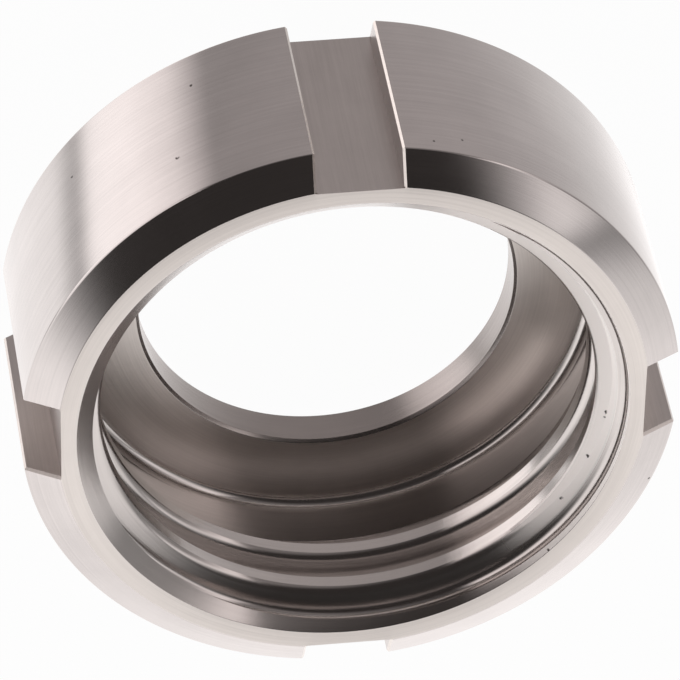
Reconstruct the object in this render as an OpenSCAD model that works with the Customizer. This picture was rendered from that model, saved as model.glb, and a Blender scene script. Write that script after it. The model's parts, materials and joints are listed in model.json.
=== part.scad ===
// Round slotted union nut of turned stainless steel.
// It stands on its flange end, with the threaded mouth up. The origin is the centre of the flange end.

/* [Body] */
// Height from the flange end to the mouth
height = 20; // [18:0.5:32]
// Wall between the relief groove and the plain outside
wall = 4.3; // [4:0.1:8]
// Radial width of the chamfer at each end
chamfer_w = 2.75; // [0.5:0.05:3]
// Angle of the end chamfers, measured from the end face
chamfer_angle = 30; // [20:1:45]

/* [Round thread] */
// Nominal diameter of the thread
thread_d = 44; // [42:0.5:60]
// Threads to the inch
threads_per_inch = 6; // [5:1:8]
// Half of the angle between two flanks
flank_angle = 15; // [12:1:18]
// How far the bottom of the groove lies outside the nominal diameter
root_clear = 0.6; // [0.2:0.05:0.8]
// Width of the flat left on each crest
crest_flat = 1.15; // [0.8:0.05:1.4]
// Direction in which the groove runs out of the mouth, from +X
thread_start = 40; // [0:1:360]

/* [Mouth] */
// How far the edge of the mouth lies outside the nominal diameter
mouth_clear = 0.65; // [0.3:0.05:0.9]
// Angle of the chamfer that runs from the mouth to the crests, measured from the axis
mouth_angle = 43; // [40:1:60]

/* [Relief groove] */
// Length of the groove's straight wall and its fillet
relief_len = 4.95; // [2:0.05:5]
// How far the groove's wall lies outside the thread's groove
relief_clear = 0.1; // [0.05:0.05:0.6]
// Fillet between the groove and the flange
relief_fillet = 1.05; // [0.3:0.05:1.2]

/* [Flange] */
// Thickness of the inward flange
flange_t = 3.5; // [2:0.1:5]
// Diameter of the bore in the flange
bore_d = 31.4; // [24:0.1:36]
// Edge break of the bore on the thread's side
bore_break_in = 0.25; // [0.1:0.05:0.8]
// Edge break of the bore on the outside
bore_break_out = 0.25; // [0.1:0.05:0.8]

/* [Spanner slots] */
// Number of slots
slot_count = 4; // [2:1:6]
// Width of a slot
slot_w = 7; // [4:0.5:12]
// Depth of a slot's flat floor below the outside
slot_depth = 3.1; // [1:0.1:3.4]

/* [Hidden] */
$fn = 96;

inch = 25.4;
// Length by which a cut runs past the face that it opens
past = 1;

// Round thread: the arcs of its crests reach 0.45 pitch inside the nominal size
pitch = inch / threads_per_inch;
major_r = thread_d / 2 + root_clear;
minor_r = thread_d / 2 - 0.45 * pitch;
pitch_r = thread_d / 2 - 0.25 * pitch;
root_arc = flank_arc(major_r - pitch_r);
crest_arc = flank_arc(pitch_r - minor_r);
// The crests are turned down to a flat, so they start at this angle of their arc and at this radius
crest_at = asin(crest_flat / 2 / crest_arc);
crest_r = minor_r + crest_arc * (1 - cos(crest_at));

relief_r = major_r + relief_clear;
relief_top = flange_t + relief_len;
mouth_r = thread_d / 2 + mouth_clear;
mouth_h = (mouth_r - crest_r) / tan(mouth_angle);
outer_r = relief_r + wall;
face_r = outer_r - chamfer_w;
chamfer_h = chamfer_w * tan(chamfer_angle);
bore_r = bore_d / 2;

// Turns of the groove are drawn as short straight steps of this angle
turn_step = 7.5;
groove_low = flange_t + pitch / 2;
groove_high = height + pitch / 2;
groove_steps = ceil((groove_high - groove_low) / pitch * 360 / turn_step);
groove_from = thread_start - (height - groove_low) / pitch * 360;

// Radius of the arc that touches both flanks and rises h from the pitch line
function flank_arc(h) = (pitch / 4 - h * tan(flank_angle)) * cos(flank_angle) / (1 - sin(flank_angle));

// Half of the groove's section, from its deepest line to the edge of the crest: [radius, height]
function half_groove() = let (
        end = 90 - flank_angle,
        root = [for (a = [0, end / 2, end])
            [major_r - root_arc * (1 - cos(a)), root_arc * sin(a)]],
        crest = [for (a = [end, (end + crest_at) / 2, crest_at])
            [minor_r + crest_arc * (1 - cos(a)), pitch / 2 - crest_arc * sin(a)]],
        inside = [[crest_r - past, pitch / 2 - crest_flat / 2]]
    ) concat(root, crest, inside);

// The whole section, from the lower inside corner round to the upper one
function groove_section() = let (half = half_groove(), n = len(half)) concat(
        [for (i = [n - 1:-1:1]) [half[i][0], -half[i][1]]],
        half);

module blank() {
    rotate_extrude()
        polygon([
            [0, 0],
            [face_r, 0],
            [outer_r, chamfer_h],
            [outer_r, height - chamfer_h],
            [face_r, height],
            [0, height]
        ]);
}

// Bore, relief groove, crest bore and mouth, turned as one outline
module turned_inside() {
    fillet = [for (a = [0:15:90])
        [relief_r - relief_fillet * (1 - sin(a)), flange_t + relief_fillet * (1 - cos(a))]];
    rotate_extrude()
        polygon(concat(
            [
                [0, -past],
                [bore_r + bore_break_out + past, -past],
                [bore_r, bore_break_out],
                [bore_r, flange_t - bore_break_in],
                [bore_r + bore_break_in, flange_t]
            ],
            fillet,
            [
                [relief_r, relief_top],
                [crest_r, relief_top + relief_r - crest_r],
                [crest_r, height - mouth_h],
                [mouth_r, height],
                [mouth_r, height + past],
                [0, height + past]
            ]));
}

// Helical groove of the right-hand thread
module thread_groove() {
    section = groove_section();
    n = len(section);
    // Straight steps lie inside the round groove, so their corners are moved out to meet it
    spread = 1 / cos(turn_step / 2);
    points = [for (i = [0:groove_steps], p = section)
        let (a = groove_from + i * turn_step, r = p[0] * spread)
        [r * cos(a), r * sin(a), groove_low + p[1] + pitch * i * turn_step / 360]];
    sides = [for (i = [0:groove_steps - 1], j = [0:n - 1])
        let (k = (j + 1) % n, a = i * n, b = a + n)
        each [[a + j, a + k, b + j], [b + j, a + k, b + k]]];
    ends = [
        [for (j = [n - 1:-1:0]) j],
        [for (j = [0:n - 1]) groove_steps * n + j]
    ];
    polyhedron(points, concat(sides, ends), convexity = 8);
}

module spanner_slots() {
    for (i = [0:slot_count - 1])
        rotate(i * 360 / slot_count)
            translate([outer_r - slot_depth, -slot_w / 2, -past])
                cube([slot_depth + past, slot_w, height + 2 * past]);
}

module union_nut() {
    color("#b7b1ae")
        difference() {
            blank();
            turned_inside();
            thread_groove();
            spanner_slots();
        }
}

union_nut();
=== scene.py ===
import json
import math

import bpy
from bpy.props import FloatProperty, FloatVectorProperty, IntProperty, PointerProperty, StringProperty
from mathutils import Matrix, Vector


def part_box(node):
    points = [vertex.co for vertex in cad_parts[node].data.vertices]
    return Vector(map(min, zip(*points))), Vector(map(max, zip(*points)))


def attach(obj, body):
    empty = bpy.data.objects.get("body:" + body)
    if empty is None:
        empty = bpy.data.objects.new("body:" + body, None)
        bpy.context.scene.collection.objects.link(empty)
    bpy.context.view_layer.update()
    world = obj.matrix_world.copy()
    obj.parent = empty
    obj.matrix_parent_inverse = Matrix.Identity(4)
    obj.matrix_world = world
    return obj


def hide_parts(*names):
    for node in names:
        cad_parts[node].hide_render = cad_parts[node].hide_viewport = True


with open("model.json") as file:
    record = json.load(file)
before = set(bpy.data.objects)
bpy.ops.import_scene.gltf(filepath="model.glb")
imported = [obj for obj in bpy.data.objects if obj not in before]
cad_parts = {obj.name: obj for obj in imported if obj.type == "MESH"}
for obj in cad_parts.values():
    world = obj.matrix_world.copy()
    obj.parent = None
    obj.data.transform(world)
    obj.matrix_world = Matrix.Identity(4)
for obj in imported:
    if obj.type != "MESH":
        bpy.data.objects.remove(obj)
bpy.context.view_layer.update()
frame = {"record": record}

bl_info = {
    "name": "Union nut",
    "version": (1, 0, 0),
    "blender": (4, 5, 0),
    "location": "3D View > Sidebar > Union nut",
    "description": "Builds a round slotted union nut and the stage it is shown on",
    "category": "Add Mesh",
}

MM = 0.001
NUT_LOW, NUT_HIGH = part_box("union_nut")
MOUNTS = {mount["name"]: mount for mount in frame["record"]["mounts"]}
SLOTS = [name for name in MOUNTS if name.startswith("spanner_slot")]
SLOT_WIDTH = 7.0 * MM
THREAD_PITCH = 25.4 * MM / 6
NOMINAL_RADIUS = 22.0 * MM
CREST_RADIUS = MOUNTS["thread"]["dims"]["r_mm"] * MM
BORE_RADIUS = MOUNTS["flange_bore"]["dims"]["r_mm"] * MM
# The slots cut the outer circle where it is widest, so the box ends at their corners
OUTER_RADIUS = math.hypot(NUT_HIGH[0], SLOT_WIDTH / 2)

# Edge break of the bore, and the small roundings of the turned edges
BORE_BREAK = 0.25 * MM
OUTER_ROUND = 0.25 * MM
BORE_ROUND = 0.08 * MM
MOUTH_ROUND = 0.06 * MM
RELIEF_ROUND = 0.15 * MM
# Cutters run this far past the faces that they open
PAST = 1 * MM


def length(name, description, default):
    return FloatProperty(name=name, description=description, default=default, unit="LENGTH", precision=5)


def angle(name, description, degrees):
    return FloatProperty(name=name, description=description, default=math.radians(degrees), subtype="ANGLE")


def colour(name, description, default):
    return StringProperty(name=name, description=description + ", as an sRGB hex value", default=default)


class UnionNutSizes(bpy.types.PropertyGroup):
    """Sizes of the turned and milled shape"""
    height: length("Height", "Flange end to mouth", NUT_HIGH[2] - NUT_LOW[2])
    outer_radius: length("Outer radius", "Axis to the plain outside", OUTER_RADIUS)
    chamfer_width: length("Chamfer width", "Radial width of the outer chamfers", 2.75 * MM)
    chamfer_angle: angle("Chamfer angle", "Slope of the outer chamfers from the end faces", 30)
    nominal_radius: length("Nominal radius", "Half of the thread's nominal diameter", NOMINAL_RADIUS)
    crest_radius: length("Crest radius", "Axis to the flats on the thread's crests", CREST_RADIUS)
    pitch: length("Thread pitch", "Rise of the thread in one turn", THREAD_PITCH)
    flank_angle: angle("Flank angle", "Half of the angle between the thread's flanks", 15)
    crest_flat: length("Crest flat", "Width of the flat on a crest", 1.15 * MM)
    thread_start: angle("Thread start", "Where the groove leaves the mouth", 40)
    root_radius: length("Root radius", "Axis to the bottom of the thread's groove", NOMINAL_RADIUS + 0.6 * MM)
    mouth_radius: length("Mouth radius", "Axis to the edge of the mouth", NOMINAL_RADIUS + 0.65 * MM)
    mouth_angle: angle("Mouth angle", "Slope of the mouth's chamfer from the axis", 43)
    relief_radius: length("Relief radius", "Axis to the groove next to the flange", NOMINAL_RADIUS + 0.7 * MM)
    relief_length: length("Relief length", "Straight part of the relief groove and its fillet", 4.95 * MM)
    relief_fillet: length("Relief fillet", "Fillet between relief groove and flange", 1.05 * MM)
    flange: length("Flange thickness", "Thickness of the inward flange", 3.5 * MM)
    bore_radius: length("Bore radius", "Axis to the flange's bore", BORE_RADIUS)
    slot_count: IntProperty(name="Slots", description="Slots for the hook spanner", default=len(SLOTS), min=1)
    slot_width: length("Slot width", "Width of a slot", SLOT_WIDTH)
    slot_depth: length("Slot depth", "Outside to the slot's floor", 3.1 * MM)
    slot_break: length("Slot edge break", "Width of the deburred edges along a slot", 0.22 * MM)
    segments: IntProperty(name="Segments", description="Faces round the turned body", default=288, min=48)


class UnionNutFinish(bpy.types.PropertyGroup):
    """Colours of the steel"""
    turned: colour("Turned steel", "Plain outside and its chamfers", "#d0cac8")
    faced: colour("Faced steel", "End faces, the flange's inner face and the slots' edges", "#e4ddd8")
    bored: colour("Bored steel", "Relief groove, crests and mouth", "#cfc9c6")
    # Darker than the other steels, as painted shade in the flange's bore
    reamed_painted_shade: colour("Reamed steel", "Bore in the flange", "#aba4a1")
    # Near-white colour of a patch at the start of the thread: a painted highlight
    painted_highlight: colour("Painted highlight steel", "Start of the thread at the mouth", "#fffaf7")
    threaded: colour("Threaded steel", "Surfaces cut by the threading tool", "#cec8c5")
    milled: colour("Milled steel", "Floors and walls of the slots", "#c8c1be")


class UnionNutStage(bpy.types.PropertyGroup):
    """Camera and surroundings"""
    floor: colour("Floor", "Plain floor", "#f4f2f0")
    tilt: angle("Tilt", "Angle between the nut's axis and the line of sight", 40.233)
    roll: angle("Roll", "Roll of the picture", -12.244)
    turn: angle("Turn", "Direction of the camera, from the +Y slot", 10.52)
    distance: length("Distance", "Camera to the middle of the mouth", 0.5618)
    offset: FloatVectorProperty(
        name="Offset", description="Middle of the mouth from the middle of the picture",
        default=(1.183 * MM, -6.734 * MM), size=2, unit="LENGTH", precision=5)
    lens: FloatProperty(name="Lens", description="Focal length in mm on a 36 mm sensor", default=366.97)


def linear(hex_colour):
    """An sRGB hex value as linear RGBA."""
    parts = [int(hex_colour[i:i + 2], 16) / 255 for i in (1, 3, 5)]
    return [p / 12.92 if p <= 0.04045 else ((p + 0.055) / 1.055) ** 2.4 for p in parts] + [1.0]


def add_node(tree, kind, inputs=None, **settings):
    """Adds a node, sets its properties, and fills or links its inputs by name or number."""
    node = tree.nodes.new(kind)
    for key, value in settings.items():
        setattr(node, key, value)
    for key, value in (inputs or {}).items():
        several = isinstance(value, tuple) and isinstance(value[0], bpy.types.NodeSocket)
        for one in value if several else (value,):
            if isinstance(one, bpy.types.NodeSocket):
                tree.links.new(one, node.inputs[key])
            else:
                node.inputs[key].default_value = one
    return node


def line_object(name, points, edges):
    """Points and edges as an object, to sweep or to sweep along."""
    mesh = bpy.data.meshes.new(name)
    mesh.from_pydata(points, edges, [])
    line = bpy.data.objects.new(name, mesh)
    bpy.context.scene.collection.objects.link(line)
    return line


def closed_line(name, points):
    """A closed line in the XY plane."""
    count = len(points)
    return line_object(name, [(x, y, 0) for x, y in points], [(i, (i + 1) % count) for i in range(count)])


def open_lines(name, lines):
    """Open lines in space."""
    points, edges = [], []
    for line in lines:
        edges += [(len(points) + i, len(points) + i + 1) for i in range(len(line) - 1)]
        points += line
    return line_object(name, points, edges)


def rounded(corners, steps=6):
    """A closed outline from corners of (x, y, radius), with an arc at each corner that has a radius."""
    points = []
    for i, (x, y, radius) in enumerate(corners):
        if not radius:
            points.append((x, y))
            continue
        before, after = corners[i - 1], corners[(i + 1) % len(corners)]
        u = (before[0] - x, before[1] - y)
        v = (after[0] - x, after[1] - y)
        u = [c / math.hypot(*u) for c in u]
        v = [c / math.hypot(*v) for c in v]
        half = math.acos(u[0] * v[0] + u[1] * v[1]) / 2
        middle = (u[0] + v[0], u[1] + v[1])
        reach = radius / math.sin(half) / math.hypot(*middle)
        centre = (x + middle[0] * reach, y + middle[1] * reach)
        foot = radius / math.tan(half)
        start = (x + u[0] * foot - centre[0], y + u[1] * foot - centre[1])
        end = (x + v[0] * foot - centre[0], y + v[1] * foot - centre[1])
        first = math.atan2(start[1], start[0])
        swing = math.atan2(start[0] * end[1] - start[1] * end[0], start[0] * end[0] + start[1] * end[1])
        for k in range(steps + 1):
            turn = first + swing * k / steps
            points.append((centre[0] + radius * math.cos(turn), centre[1] + radius * math.sin(turn)))
    return points


def turned_outline(sizes):
    """Half section of the turned body: (distance from axis, height)."""
    face = sizes.outer_radius - sizes.chamfer_width
    rise = sizes.chamfer_width * math.tan(sizes.chamfer_angle)
    relief_top = sizes.flange + sizes.relief_length
    mouth_low = sizes.height - (sizes.mouth_radius - sizes.crest_radius) / math.tan(sizes.mouth_angle)
    return rounded([
        (sizes.bore_radius + BORE_BREAK, 0, BORE_ROUND),
        (face, 0, OUTER_ROUND),
        (sizes.outer_radius, rise, OUTER_ROUND),
        (sizes.outer_radius, sizes.height - rise, OUTER_ROUND),
        (face, sizes.height, OUTER_ROUND),
        (sizes.mouth_radius, sizes.height, MOUTH_ROUND),
        (sizes.crest_radius, mouth_low, MOUTH_ROUND),
        (sizes.crest_radius, relief_top + sizes.relief_radius - sizes.crest_radius, 0),
        (sizes.relief_radius, relief_top, RELIEF_ROUND),
        (sizes.relief_radius, sizes.flange, sizes.relief_fillet),
        (sizes.bore_radius + BORE_BREAK, sizes.flange, BORE_ROUND),
        (sizes.bore_radius, sizes.flange - BORE_BREAK, BORE_ROUND),
        (sizes.bore_radius, BORE_BREAK, BORE_ROUND),
    ])


def groove_outline(sizes):
    """Section of the round thread's groove: (distance from axis, height from the groove's middle)."""
    pitch, slope = sizes.pitch, sizes.flank_angle
    # Flanks cross the pitch line a quarter of a pitch inside the nominal size, and full crests would reach
    # 0.45 of a pitch inside it
    major = sizes.root_radius
    middle = sizes.nominal_radius - 0.25 * pitch
    minor = sizes.nominal_radius - 0.45 * pitch
    steps = 8

    def flank_arc(h):
        return (pitch / 4 - h * math.tan(slope)) * math.cos(slope) / (1 - math.sin(slope))

    root, crest = flank_arc(major - middle), flank_arc(middle - minor)
    end = math.pi / 2 - slope
    flat = math.asin(sizes.crest_flat / 2 / crest)
    half = []
    for k in range(steps + 1):
        a = end * k / steps
        half.append((major - root * (1 - math.cos(a)), root * math.sin(a)))
    for k in range(steps + 1):
        a = end + (flat - end) * k / steps
        half.append((minor + crest * (1 - math.cos(a)), pitch / 2 - crest * math.sin(a)))
    half.append((minor - PAST, pitch / 2 - sizes.crest_flat / 2))
    return [(r, -z) for r, z in half[:0:-1]] + half


def slot_edges(sizes):
    """The two long edges of the slot on +X, over both chamfers and a little past the end faces."""
    half = sizes.slot_width / 2
    wide = math.sqrt(sizes.outer_radius ** 2 - half ** 2)
    narrow = math.sqrt((sizes.outer_radius - sizes.chamfer_width) ** 2 - half ** 2)
    rise = sizes.chamfer_width * math.tan(sizes.chamfer_angle)
    # Share of a chamfer's length by which an edge runs on
    beyond = 0.02
    end = (wide - (wide - narrow) * (1 + beyond), -rise * beyond)
    side = [end, (wide, rise), (wide, sizes.height - rise), (end[0], sizes.height - end[1])]
    return [[(x, y, z) for x, z in side] for y in (half, -half)]


def nut_tree():
    """Geometry nodes of the nut: the outline is turned, and the thread, the slots and their edges are cut."""
    helix_steps = 192
    # Points that the cuts leave closer than this are one point
    same_point = 0.001 * MM
    # Edges that bend more than this stay sharp
    sharp_bend = math.radians(18)
    # Upward part of the normal on a level face, and on the mouth's chamfer with its tolerance
    level_normal = 0.98
    mouth_normal, mouth_spread = 0.68, 0.05

    tree = bpy.data.node_groups.new("Union nut", "GeometryNodeTree")
    kinds = {
        "Outline": "Geometry", "Groove": "Object", "Slot edges": "Object", "Edge break": "Float",
        "Segments": "Int", "Path radius": "Float", "Pitch": "Float", "Turns": "Float",
        "Thread start": "Float", "Thread foot": "Float", "Slots": "Int", "Slot size": "Vector",
        "Slot middle": "Vector", "Inside radius": "Float", "Bore limit": "Float", "Crest radius": "Float",
        "Turned": "Material", "Bored": "Material", "Reamed_painted_shade": "Material", "Chamfered": "Material",
        "Faced": "Material", "Threaded": "Material", "Milled": "Material",
    }
    for name, kind in kinds.items():
        tree.interface.new_socket(name, in_out="INPUT", socket_type="NodeSocket" + kind)
    tree.interface.new_socket("Nut", in_out="OUTPUT", socket_type="NodeSocketGeometry")
    given = add_node(tree, "NodeGroupInput").outputs

    outline = add_node(tree, "GeometryNodeMeshToCurve", {"Mesh": given["Outline"]})
    ring = add_node(tree, "GeometryNodeCurvePrimitiveCircle", {
        "Resolution": given["Segments"], "Radius": given["Path radius"]}, mode="RADIUS")
    ring = add_node(tree, "GeometryNodeSetCurveNormal", {"Curve": ring.outputs["Curve"]}, mode="Z_UP")
    body = add_node(tree, "GeometryNodeCurveToMesh", {
        "Curve": ring.outputs[0], "Profile Curve": outline.outputs[0]})

    section = add_node(tree, "GeometryNodeObjectInfo", {"Object": given["Groove"]})
    section = add_node(tree, "GeometryNodeMeshToCurve", {"Mesh": section.outputs["Geometry"]})
    rise = add_node(tree, "ShaderNodeMath", {0: given["Pitch"], 1: given["Turns"]}, operation="MULTIPLY")
    helix = add_node(tree, "GeometryNodeCurveSpiral", {
        "Resolution": helix_steps, "Rotations": given["Turns"], "Start Radius": given["Path radius"],
        "End Radius": given["Path radius"], "Height": rise.outputs[0], "Reverse": True})
    foot = add_node(tree, "ShaderNodeCombineXYZ", {"Z": given["Thread foot"]})
    turned_to = add_node(tree, "ShaderNodeCombineXYZ", {"Z": given["Thread start"]})
    helix = add_node(tree, "GeometryNodeTransform", {
        "Geometry": helix.outputs[0], "Translation": foot.outputs[0], "Rotation": turned_to.outputs[0]})
    helix = add_node(tree, "GeometryNodeSetCurveNormal", {"Curve": helix.outputs[0]}, mode="Z_UP")
    groove = add_node(tree, "GeometryNodeCurveToMesh", {
        "Curve": helix.outputs[0], "Profile Curve": section.outputs[0], "Fill Caps": True})
    groove = add_node(tree, "GeometryNodeStoreNamedAttribute", {
        "Geometry": groove.outputs[0], "Name": "threaded", "Value": 1.0}, data_type="FLOAT", domain="FACE")

    cutter = add_node(tree, "GeometryNodeMeshCube", {"Size": given["Slot size"]})
    cutter = add_node(tree, "GeometryNodeTransform", {
        "Geometry": cutter.outputs["Mesh"], "Translation": given["Slot middle"]})
    cutter = add_node(tree, "GeometryNodeStoreNamedAttribute", {
        "Geometry": cutter.outputs[0], "Name": "milled", "Value": 1.0}, data_type="FLOAT", domain="FACE")
    spots = add_node(tree, "GeometryNodePoints", {"Count": given["Slots"]})
    share = add_node(tree, "ShaderNodeMath", {0: math.tau, 1: given["Slots"]}, operation="DIVIDE")
    index = add_node(tree, "GeometryNodeInputIndex")
    step = add_node(tree, "ShaderNodeMath", {0: index.outputs[0], 1: share.outputs[0]}, operation="MULTIPLY")
    facing = add_node(tree, "ShaderNodeCombineXYZ", {"Z": step.outputs[0]})
    slots = add_node(tree, "GeometryNodeInstanceOnPoints", {
        "Points": spots.outputs[0], "Instance": cutter.outputs[0], "Rotation": facing.outputs[0]})
    slots = add_node(tree, "GeometryNodeRealizeInstances", {"Geometry": slots.outputs[0]})

    # A square bar on edge along each corner breaks it
    edges = add_node(tree, "GeometryNodeObjectInfo", {"Object": given["Slot edges"]})
    edges = add_node(tree, "GeometryNodeMeshToCurve", {"Mesh": edges.outputs["Geometry"]})
    bar = add_node(tree, "GeometryNodeCurvePrimitiveCircle", {
        "Resolution": 4, "Radius": given["Edge break"]}, mode="RADIUS")
    bars = add_node(tree, "GeometryNodeCurveToMesh", {
        "Curve": edges.outputs[0], "Profile Curve": bar.outputs["Curve"], "Fill Caps": True})
    bars = add_node(tree, "GeometryNodeStoreNamedAttribute", {
        "Geometry": bars.outputs[0], "Name": "deburred", "Value": 1.0}, data_type="FLOAT", domain="FACE")
    bars = add_node(tree, "GeometryNodeInstanceOnPoints", {
        "Points": spots.outputs[0], "Instance": bars.outputs[0], "Rotation": facing.outputs[0]})
    bars = add_node(tree, "GeometryNodeRealizeInstances", {"Geometry": bars.outputs[0]})

    cut = add_node(tree, "GeometryNodeMeshBoolean", {
        "Mesh 1": body.outputs[0], "Mesh 2": (groove.outputs[0], slots.outputs[0], bars.outputs[0])},
        operation="DIFFERENCE", solver="MANIFOLD")
    joined = add_node(tree, "GeometryNodeMergeByDistance", {
        "Geometry": cut.outputs["Mesh"], "Distance": same_point})
    smooth = add_node(tree, "GeometryNodeSetShadeSmooth", {
        "Geometry": joined.outputs[0], "Shade Smooth": True})
    bend = add_node(tree, "GeometryNodeInputMeshEdgeAngle")
    sharp = add_node(tree, "ShaderNodeMath", {0: bend.outputs[0], 1: sharp_bend}, operation="GREATER_THAN")
    smooth = add_node(tree, "GeometryNodeSetShadeSmooth", {
        "Geometry": smooth.outputs[0], "Selection": sharp.outputs[0], "Shade Smooth": False}, domain="EDGE")
    nut = add_node(tree, "GeometryNodeRealizeInstances", {"Geometry": smooth.outputs[0]})

    place = add_node(tree, "GeometryNodeInputPosition")
    place = add_node(tree, "ShaderNodeVectorMath", {0: place.outputs[0], 1: (1, 1, 0)}, operation="MULTIPLY")
    reach = add_node(tree, "ShaderNodeVectorMath", {0: place.outputs[0]}, operation="LENGTH").outputs["Value"]
    inside = add_node(tree, "ShaderNodeMath", {0: reach, 1: given["Inside radius"]}, operation="LESS_THAN")
    bore = add_node(tree, "ShaderNodeMath", {0: reach, 1: given["Bore limit"]}, operation="LESS_THAN")
    normal = add_node(tree, "GeometryNodeInputNormal")
    normal = add_node(tree, "ShaderNodeSeparateXYZ", {0: normal.outputs[0]})
    upright = add_node(tree, "ShaderNodeMath", {0: normal.outputs["Z"]}, operation="ABSOLUTE")
    level = add_node(tree, "ShaderNodeMath", {
        0: upright.outputs[0], 1: level_normal}, operation="GREATER_THAN")
    deep = add_node(tree, "ShaderNodeMath", {0: reach, 1: given["Crest radius"]}, operation="GREATER_THAN")
    sloping = add_node(tree, "ShaderNodeMath", {
        0: normal.outputs["Z"], 1: mouth_normal, 2: mouth_spread}, operation="COMPARE")
    mouth = add_node(tree, "ShaderNodeMath", {0: inside.outputs[0], 1: deep.outputs[0]}, operation="MULTIPLY")
    mouth = add_node(tree, "ShaderNodeMath", {
        0: mouth.outputs[0], 1: sloping.outputs[0]}, operation="MULTIPLY")
    groove = add_node(tree, "GeometryNodeInputNamedAttribute", {"Name": "threaded"}, data_type="FLOAT")
    slot = add_node(tree, "GeometryNodeInputNamedAttribute", {"Name": "milled"}, data_type="FLOAT")
    edge = add_node(tree, "GeometryNodeInputNamedAttribute", {"Name": "deburred"}, data_type="FLOAT")
    nut = add_node(tree, "GeometryNodeSetMaterial", {"Geometry": nut.outputs[0], "Material": given["Turned"]})
    for where, finish in (
            (inside, "Bored"), (bore, "Reamed_painted_shade"), (mouth, "Chamfered"), (level, "Faced"), (groove, "Threaded"),
            (slot, "Milled"), (edge, "Faced")):
        nut = add_node(tree, "GeometryNodeSetMaterial", {
            "Geometry": nut.outputs[0], "Selection": where.outputs[0], "Material": given[finish]})
    add_node(tree, "NodeGroupOutput", {"Nut": nut.outputs[0]})
    return tree


def evaluated_piece(name, outline, tree, values):
    """Runs a tree on a line object and keeps the result as a plain mesh."""
    modifier = outline.modifiers.new(tree.name, "NODES")
    modifier.node_group = tree
    for socket in tree.interface.items_tree:
        if socket.in_out == "INPUT" and socket.name in values:
            modifier[socket.identifier] = values[socket.name]
    solved = outline.evaluated_get(bpy.context.evaluated_depsgraph_get())
    mesh = bpy.data.meshes.new_from_object(solved)
    mesh.name = name
    outline.modifiers.remove(modifier)
    line, outline.data = outline.data, mesh
    bpy.data.meshes.remove(line)
    outline.name = name
    return outline


def tool_marks(tree, place, spacing, along_axis):
    """Fine noise, drawn out along the way that the tool went."""
    if along_axis:
        # A cutter that travels along the axis leaves streaks in that direction
        squeeze = 0.025
        way = add_node(tree, "ShaderNodeVectorMath", {
            0: place, 1: (1 / spacing, 1 / spacing, squeeze / spacing)}, operation="MULTIPLY")
    else:
        # A lathe tool leaves rings: they follow one another outwards on a face and along the axis on a wall.
        # They change slowly on their way round.
        lean, drift = -0.6, 60
        across = add_node(tree, "ShaderNodeVectorMath", {0: place, 1: (1, 1, 0)}, operation="MULTIPLY")
        across = add_node(tree, "ShaderNodeVectorMath", {0: across.outputs[0]}, operation="LENGTH")
        height = add_node(tree, "ShaderNodeSeparateXYZ", {0: place})
        ring = add_node(tree, "ShaderNodeMath", {
            0: height.outputs["Z"], 1: lean, 2: across.outputs["Value"]}, operation="MULTIPLY_ADD")
        ring = add_node(tree, "ShaderNodeMath", {0: ring.outputs[0], 1: 1 / spacing}, operation="MULTIPLY")
        ring = add_node(tree, "ShaderNodeCombineXYZ", {"Z": ring.outputs[0]})
        change = add_node(tree, "ShaderNodeVectorMath", {
            0: place, 1: (drift, drift, 0)}, operation="MULTIPLY")
        way = add_node(tree, "ShaderNodeVectorMath", {0: ring.outputs[0], 1: change.outputs[0]})
    return add_node(tree, "ShaderNodeTexNoise", {
        "Vector": way.outputs[0], "Scale": 1.0, "Detail": 3.0, "Roughness": 0.65}).outputs["Fac"]


def painted_highlight_patch(tree, place, heading, inner, outer, foot):
    """How far a point lies in the patch of painted highlight about a heading, between two radii and above a
    foot.
    """
    # Cosines of the angles from the heading at which the patch ends and is full
    ends, full_at = 0.3, 0.65
    outward = add_node(tree, "ShaderNodeVectorMath", {0: place, 1: (1, 1, 0)}, operation="MULTIPLY")
    reach = add_node(tree, "ShaderNodeVectorMath", {
        0: outward.outputs[0]}, operation="LENGTH").outputs["Value"]
    outward = add_node(tree, "ShaderNodeVectorMath", {0: outward.outputs[0]}, operation="NORMALIZE")
    outward = add_node(tree, "ShaderNodeVectorMath", {
        0: outward.outputs[0], 1: (math.cos(heading), math.sin(heading), 0)}, operation="DOT_PRODUCT")
    patch = add_node(tree, "ShaderNodeMapRange", {
        "Value": outward.outputs["Value"], "From Min": ends, "From Max": full_at},
        interpolation_type="SMOOTHSTEP")
    level = add_node(tree, "ShaderNodeSeparateXYZ", {0: place}).outputs["Z"]
    for measure, none, full in (
            (reach, inner, inner + 0.1 * MM), (reach, outer, outer - 0.25 * MM),
            (level, foot, foot + 0.2 * MM)):
        within = add_node(tree, "ShaderNodeMapRange", {"Value": measure, "From Min": none, "From Max": full})
        patch = add_node(tree, "ShaderNodeMath", {
            0: patch.outputs[0], 1: within.outputs[0]}, operation="MULTIPLY")
    return patch.outputs[0]


def nick_marks(tree, place, nicks):
    """Small ragged spots, each given by its place and size in mm."""
    grain, ragged = 0.3 * MM, 0.4 * MM
    noise = add_node(tree, "ShaderNodeTexNoise", {"Vector": place, "Scale": 1 / grain})
    shifted = add_node(tree, "ShaderNodeVectorMath", {
        0: noise.outputs["Color"], 1: [ragged] * 3, 2: place}, operation="MULTIPLY_ADD")
    struck = None
    for x, y, z, size in nicks:
        # Half of the noise's reach is its mean, so a spot's middle moves by that much
        away = add_node(tree, "ShaderNodeVectorMath", {
            0: shifted.outputs[0], 1: [c * MM + ragged / 2 for c in (x, y, z)]}, operation="DISTANCE")
        dent = add_node(tree, "ShaderNodeMapRange", {
            "Value": away.outputs["Value"], "From Min": size * MM, "From Max": size * 0.4 * MM})
        struck = add_node(tree, "ShaderNodeMath", {
            0: dent.outputs[0], 1: struck.outputs[0]}, operation="MAXIMUM") if struck else dent
    return struck.outputs[0]


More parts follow.
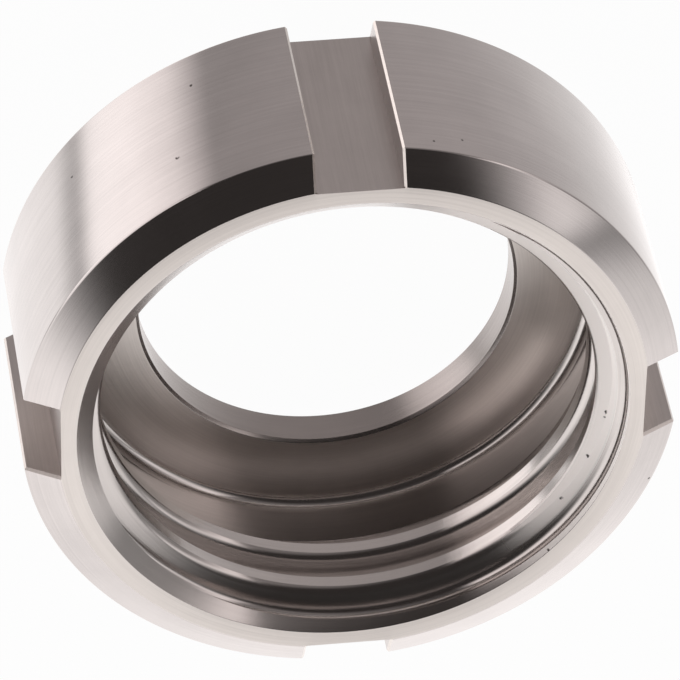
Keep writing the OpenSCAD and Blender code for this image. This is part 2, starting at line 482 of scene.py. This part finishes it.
def steel(name, base, roughness, spacing, slope, along_axis=False, painted_highlight=None, nicks=()):
    """Stainless steel with tool marks: their spacing in metres, and how far they tilt the surface.

    A patch of painted highlight is given by its colour, roughness, heading, inner and outer radius, and foot.
    Nicks are given by their places and sizes in mm.
    """
    smudge_size = 7 * MM
    # Darkest and lightest tone, and the part by which the roughness differs from place to place
    darkest, lightest = 0.92, 1.06
    uneven = 0.07

    material = bpy.data.materials.new(name)
    material.use_nodes = True
    tree = material.node_tree
    shader = tree.nodes["Principled BSDF"]
    shader.inputs["Metallic"].default_value = 1.0
    if not along_axis:
        # Rings stretch the highlights across themselves
        tangent = add_node(tree, "ShaderNodeTangent", direction_type="RADIAL", axis="Z")
        tree.links.new(tangent.outputs[0], shader.inputs["Tangent"])
        shader.inputs["Anisotropic"].default_value = 0.5
        shader.inputs["Anisotropic Rotation"].default_value = 0.25

    place = add_node(tree, "ShaderNodeTexCoord").outputs["Object"]
    marks = tool_marks(tree, place, spacing, along_axis)
    smudge = add_node(tree, "ShaderNodeTexNoise", {
        "Vector": place, "Scale": 1 / smudge_size, "Detail": 4.0, "Roughness": 0.6}).outputs["Fac"]
    tone = add_node(tree, "ShaderNodeMath", {0: marks, 1: smudge}, operation="ADD")
    tone = add_node(tree, "ShaderNodeMapRange", {
        "Value": tone.outputs[0], "From Min": 0.7, "From Max": 1.3, "To Min": darkest, "To Max": lightest})
    shade = add_node(tree, "ShaderNodeMix", {
        "Factor": 1.0, "A": linear(base), "B": tone.outputs[0]}, data_type="RGBA", blend_type="MULTIPLY")
    dull = add_node(tree, "ShaderNodeMapRange", {
        "Value": smudge, "From Min": 0.3, "From Max": 0.7,
        "To Min": roughness * (1 - uneven), "To Max": roughness * (1 + uneven)}).outputs[0]
    # A near-white, rougher patch is mixed into the colour here: a painted highlight
    if painted_highlight:
        patch_colour, patch_roughness, *where = painted_highlight
        patch = painted_highlight_patch(tree, place, *where)
        shade = add_node(tree, "ShaderNodeMix", {
            "Factor": patch, "A": shade.outputs["Result"], "B": linear(patch_colour)}, data_type="RGBA")
        dull = add_node(tree, "ShaderNodeMix", {
            "Factor": patch, "A": dull, "B": patch_roughness}).outputs["Result"]
    if nicks:
        struck = nick_marks(tree, place, nicks)
        shade = add_node(tree, "ShaderNodeMix", {
            "Factor": struck, "A": shade.outputs["Result"], "B": linear("#3c3532")}, data_type="RGBA")
    tree.links.new(shade.outputs["Result"], shader.inputs["Base Color"])
    tree.links.new(dull, shader.inputs["Roughness"])
    bump = add_node(tree, "ShaderNodeBump", {"Strength": 1.0, "Distance": slope * spacing, "Height": marks})
    tree.links.new(bump.outputs[0], shader.inputs["Normal"])
    return material


def finishes(colours):
    """One steel for each way in which the surface was made.

    Real tool marks lie about 0.05 mm apart. They are drawn two to six times coarser, so that a picture can
    show them.
    """
    # Painted highlight at the start of the thread: its colour, roughness, heading and the radius at which it
    # begins
    start = (colours.painted_highlight, 0.6, math.radians(15), CREST_RADIUS + 0.1 * MM)
    return {
        # The outside mirrors the panels in long soft bands, and its rings hardly show
        "Turned": steel(
            "Stainless steel, turned and polished", colours.turned, 0.15, 0.12 * MM, 0.009, nicks=[
                (-11.71, 24.33, 5.34, 0.2), (-13.78, 23.21, 13.25, 0.24), (-21.43, 16.42, 6.12, 0.16),
                (6.17, 26.28, 17.27, 0.14), (8.55, 25.61, 16.54, 0.14), (24.92, -9.5, 18.6, 0.2)]),
        # The end faces look frosted and evenly pale, because the rings of the facing tool spread the light
        "Faced": steel("Stainless steel, faced", colours.faced, 0.31, 0.16 * MM, 0.04),
        # Inside, light and dark patches have sharp borders, and fine rings run along them
        "Bored": steel("Stainless steel, bored", colours.bored, 0.15, 0.2 * MM, 0.03),
        # The bore's colour is greyer than the rest, as painted shade, and its rings can be told apart
        "Reamed_painted_shade": steel("Stainless steel, reamed, with painted shade", colours.reamed_painted_shade, 0.25, 0.3 * MM, 0.05),
        # The mouth's chamfer is as bright as the bored parts. Where it meets the first turn of the thread,
        # a matt, nearly white patch is a painted highlight, and the steel is slightly nicked.
        "Chamfered": steel(
            "Stainless steel, chamfered, with painted highlight", colours.bored, 0.22, 0.2 * MM, 0.03,
            painted_highlight=(*start, 23 * MM, 16 * MM), nicks=[
                (21.04, -2.19, 18.39, 0.2), (21.0, -2.7, 18.37, 0.16), (19.78, -6.96, 18.2, 0.2),
                (16.5, -15.4, 19.91, 0.16)]),
        # The flanks are bright, with lines that follow the thread. At the mouth they carry the same painted
        # highlight.
        "Threaded": steel(
            "Stainless steel, thread cut", colours.threaded, 0.17, 0.2 * MM, 0.03,
            painted_highlight=(*start, 21.9 * MM, 16.9 * MM), nicks=[(17.72, -11.38, 18.12, 0.18)]),
        # The slots are an even grey, with straight streaks from the cutter
        "Milled": steel("Stainless steel, milled", colours.milled, 0.31, 0.25 * MM, 0.06, along_axis=True),
    }


class UNIONNUT_OT_nut(bpy.types.Operator):
    """Turns the nut, cuts its thread and mills its spanner slots"""
    bl_idname = "union_nut.nut"
    bl_label = "Union nut"

    def execute(self, context):
        sizes, finish = context.scene.union_nut_sizes, context.scene.union_nut_finish
        # Both sections are swept along lines at this distance from the axis
        path = sizes.nominal_radius - 0.2 * sizes.pitch
        foot = sizes.flange + sizes.pitch / 2
        turns = (sizes.height - sizes.flange) / sizes.pitch
        outline = closed_line("outline", [(r - path, -z) for r, z in reversed(turned_outline(sizes))])
        groove = closed_line("groove", [(r - path, -z) for r, z in reversed(groove_outline(sizes))])
        edges = open_lines("slot edges", slot_edges(sizes))
        reach = sizes.slot_depth + PAST
        nut = evaluated_piece("union_nut_steel", outline, nut_tree(), {
            "Groove": groove,
            "Slot edges": edges,
            "Edge break": sizes.slot_break,
            "Segments": sizes.segments,
            "Path radius": path,
            "Pitch": sizes.pitch,
            "Turns": turns,
            "Thread start": sizes.thread_start - (sizes.height - foot) / sizes.pitch * math.tau,
            "Thread foot": foot,
            "Slots": sizes.slot_count,
            "Slot size": (reach, sizes.slot_width, sizes.height + 2 * PAST),
            "Slot middle": (sizes.outer_radius - sizes.slot_depth + reach / 2, 0, sizes.height / 2),
            "Inside radius": sizes.mouth_radius,
            # Just outside the bore's edge breaks
            "Bore limit": sizes.bore_radius + BORE_BREAK + 0.05 * MM,
            "Crest radius": sizes.crest_radius,
            **finishes(finish),
        })
        bpy.data.objects.remove(groove)
        bpy.data.objects.remove(edges)
        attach(nut, "root")
        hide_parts("union_nut")
        return {"FINISHED"}


def studio(world):
    """Light from a pale ring of soft panels, open on the camera's side and dark overhead."""
    # Half of the height, in degrees, over which the floor's light gives way to the panels
    horizon = 8
    overhead_colour = (0.036, 0.034, 0.033, 1)
    stand_colour = (0.3, 0.3, 0.3, 1)

    world.use_nodes = True
    tree = world.node_tree
    background = tree.nodes["Background"]
    direction = add_node(tree, "ShaderNodeTexCoord").outputs["Generated"]
    way = add_node(tree, "ShaderNodeSeparateXYZ", {0: direction}).outputs
    round_about = add_node(tree, "ShaderNodeMath", {0: way["Y"], 1: way["X"]}, operation="ARCTAN2")
    round_about = add_node(tree, "ShaderNodeMapRange", {
        "Value": round_about.outputs[0], "From Min": -math.pi, "From Max": math.pi})
    up = add_node(tree, "ShaderNodeMath", {0: way["Z"]}, operation="ARCSINE")

    def ramp(stops):
        """Levels round the horizon, from stops of (degrees, level)."""
        node = add_node(tree, "ShaderNodeValToRGB", {"Fac": round_about.outputs[0]})
        elements = node.color_ramp.elements
        while len(elements) < len(stops):
            elements.new(0.5)
        for element, (degrees, level) in zip(elements, stops):
            element.position = (degrees + 180) / 360
            element.color = (level, level, level, 1)
        return node.outputs["Color"]

    def disc(azimuth, elevation, edge, core):
        """A soft disc: 0 at its edge and 1 at its core, which are given in degrees from its middle."""
        tilted = Matrix.Rotation(math.radians(-elevation), 3, "Y").col[0]
        middle = Matrix.Rotation(math.radians(azimuth), 3, "Z") @ tilted
        facing = add_node(tree, "ShaderNodeVectorMath", {0: direction, 1: middle}, operation="DOT_PRODUCT")
        return add_node(tree, "ShaderNodeMapRange", {
            "Value": facing.outputs["Value"],
            "From Min": math.cos(math.radians(edge)), "From Max": math.cos(math.radians(core))},
            interpolation_type="SMOOTHSTEP").outputs[0]

    low = ramp([
        (-180, 1.4), (-173, 0.5), (-168, 0.62), (-160, 1.13), (-140, 1.18), (-115, 1.2), (-67, 1.3),
        (-49, 1.14), (-31, 0.93), (-14, 0.8), (5, 0.62), (30, 0.475), (128, 0.35), (143, 1.1),
        (160, 1.4), (176, 1.42), (180, 1.4)])
    high = ramp([
        (-180, 1.1), (-140, 1.25), (-79, 1.05), (-35, 1.1), (-15, 0.8), (-6, 0.22), (0, 1.15), (42, 1.1),
        (47, 0.22), (80, 0.2), (128, 0.04), (133, 1.05), (180, 1.1)])
    above = add_node(tree, "ShaderNodeMapRange", {
        "Value": up.outputs[0], "From Min": math.radians(-horizon), "From Max": math.radians(horizon)},
        interpolation_type="SMOOTHSTEP")
    total = add_node(tree, "ShaderNodeMix", {
        "Factor": above.outputs[0], "A": low, "B": high}, data_type="RGBA")
    total = add_node(tree, "ShaderNodeMix", {
        "Factor": disc(120, 75, edge=56, core=33), "A": total.outputs["Result"], "B": overhead_colour},
        data_type="RGBA")
    # A dark stand low on one side shows in the mouth's chamfer
    total = add_node(tree, "ShaderNodeMix", {
        "Factor": disc(10, 16, edge=31, core=6), "A": total.outputs["Result"], "B": stand_colour},
        data_type="RGBA")
    # The light is slightly warmer on the camera's side
    warmth = add_node(tree, "ShaderNodeMapRange", {"Value": way["Y"], "From Min": -0.2, "From Max": 0.6})
    tint = add_node(tree, "ShaderNodeMix", {
        "Factor": warmth.outputs[0], "A": (1.01, 0.99, 0.985, 1), "B": (1.06, 0.98, 0.97, 1)},
        data_type="RGBA")
    total = add_node(tree, "ShaderNodeMix", {
        "Factor": 1.0, "A": total.outputs["Result"], "B": tint.outputs["Result"]},
        data_type="RGBA", blend_type="MULTIPLY")
    tree.links.new(total.outputs["Result"], background.inputs["Color"])


def paper(colour_of_floor):
    """Matt paper that the camera sees as nearly white, with a faint shadow."""
    # Share of white in what the camera sees
    white = 0.97
    material = bpy.data.materials.new("Matt paper")
    material.use_nodes = True
    tree = material.node_tree
    tree.nodes.remove(tree.nodes["Principled BSDF"])
    matt = add_node(tree, "ShaderNodeBsdfDiffuse", {"Color": linear(colour_of_floor)})
    glow = add_node(tree, "ShaderNodeEmission", {"Color": (1, 1, 1, 1), "Strength": 1.0})
    light = add_node(tree, "ShaderNodeLightPath").outputs
    seen = add_node(tree, "ShaderNodeMath", {
        0: light["Is Camera Ray"], 1: light["Is Transmission Ray"]}, operation="MAXIMUM")
    seen = add_node(tree, "ShaderNodeMath", {0: seen.outputs[0], 1: white}, operation="MULTIPLY")
    shown = add_node(tree, "ShaderNodeMixShader", {
        0: seen.outputs[0], 1: matt.outputs[0], 2: glow.outputs[0]})
    # The world's lower half stands for the pale floor, so reflections see past the floor to it
    clear = add_node(tree, "ShaderNodeBsdfTransparent")
    shown = add_node(tree, "ShaderNodeMixShader", {
        0: light["Is Glossy Ray"], 1: shown.outputs[0], 2: clear.outputs[0]})
    tree.links.new(shown.outputs[0], tree.nodes["Material Output"].inputs["Surface"])
    return material


class UNIONNUT_OT_stage(bpy.types.Operator):
    """Sets the floor, the light and the camera"""
    bl_idname = "union_nut.stage"
    bl_label = "Stage"

    def execute(self, context):
        scene, stage = context.scene, context.scene.union_nut_stage
        scene.view_settings.view_transform = "Standard"
        camera = bpy.data.objects.new("camera", bpy.data.cameras.new("camera"))
        camera.data.sensor_width = 36
        camera.data.lens = stage.lens
        from_nut = (
            Matrix.Translation((stage.offset[0], stage.offset[1], -stage.distance))
            @ Matrix.Rotation(-stage.roll, 4, "Z") @ Matrix.Rotation(stage.tilt, 4, "X"))
        camera.matrix_world = (
            Matrix.Translation((0, 0, scene.union_nut_sizes.height)) @ Matrix.Rotation(stage.turn, 4, "Z")
            @ from_nut.inverted())
        scene.collection.objects.link(camera)
        scene.camera = camera

        half = 2.0
        corners = [(-half, -half, 0), (half, -half, 0), (half, half, 0), (-half, half, 0)]
        floor_mesh = bpy.data.meshes.new("floor")
        floor_mesh.from_pydata(corners, [], [(0, 1, 2, 3)])
        floor_mesh.materials.append(paper(stage.floor))
        floor = bpy.data.objects.new("floor", floor_mesh)
        scene.collection.objects.link(floor)

        # The world is the only light
        world = bpy.data.worlds.new("studio")
        scene.world = world
        studio(world)
        return {"FINISHED"}


class UNIONNUT_PT_panel(bpy.types.Panel):
    """Sizes, colours and builders of the union nut"""
    bl_idname = "UNIONNUT_PT_panel"
    bl_label = "Union nut"
    bl_space_type = "VIEW_3D"
    bl_region_type = "UI"
    bl_category = "Union nut"

    def draw(self, context):
        scene = context.scene
        for group in (scene.union_nut_sizes, scene.union_nut_finish, scene.union_nut_stage):
            box = self.layout.box()
            for name in group.__annotations__:
                box.prop(group, name)
        self.layout.operator(UNIONNUT_OT_nut.bl_idname)
        self.layout.operator(UNIONNUT_OT_stage.bl_idname)


CLASSES = (
    UnionNutSizes, UnionNutFinish, UnionNutStage, UNIONNUT_OT_nut, UNIONNUT_OT_stage, UNIONNUT_PT_panel)


def register():
    for cls in CLASSES:
        bpy.utils.register_class(cls)
    bpy.types.Scene.union_nut_sizes = PointerProperty(type=UnionNutSizes)
    bpy.types.Scene.union_nut_finish = PointerProperty(type=UnionNutFinish)
    bpy.types.Scene.union_nut_stage = PointerProperty(type=UnionNutStage)


def unregister():
    for name in ("union_nut_sizes", "union_nut_finish", "union_nut_stage"):
        delattr(bpy.types.Scene, name)
    for cls in reversed(CLASSES):
        bpy.utils.unregister_class(cls)


def main():
    register()
    bpy.ops.union_nut.nut()
    bpy.ops.union_nut.stage()


if __name__ == "__main__":
    main()
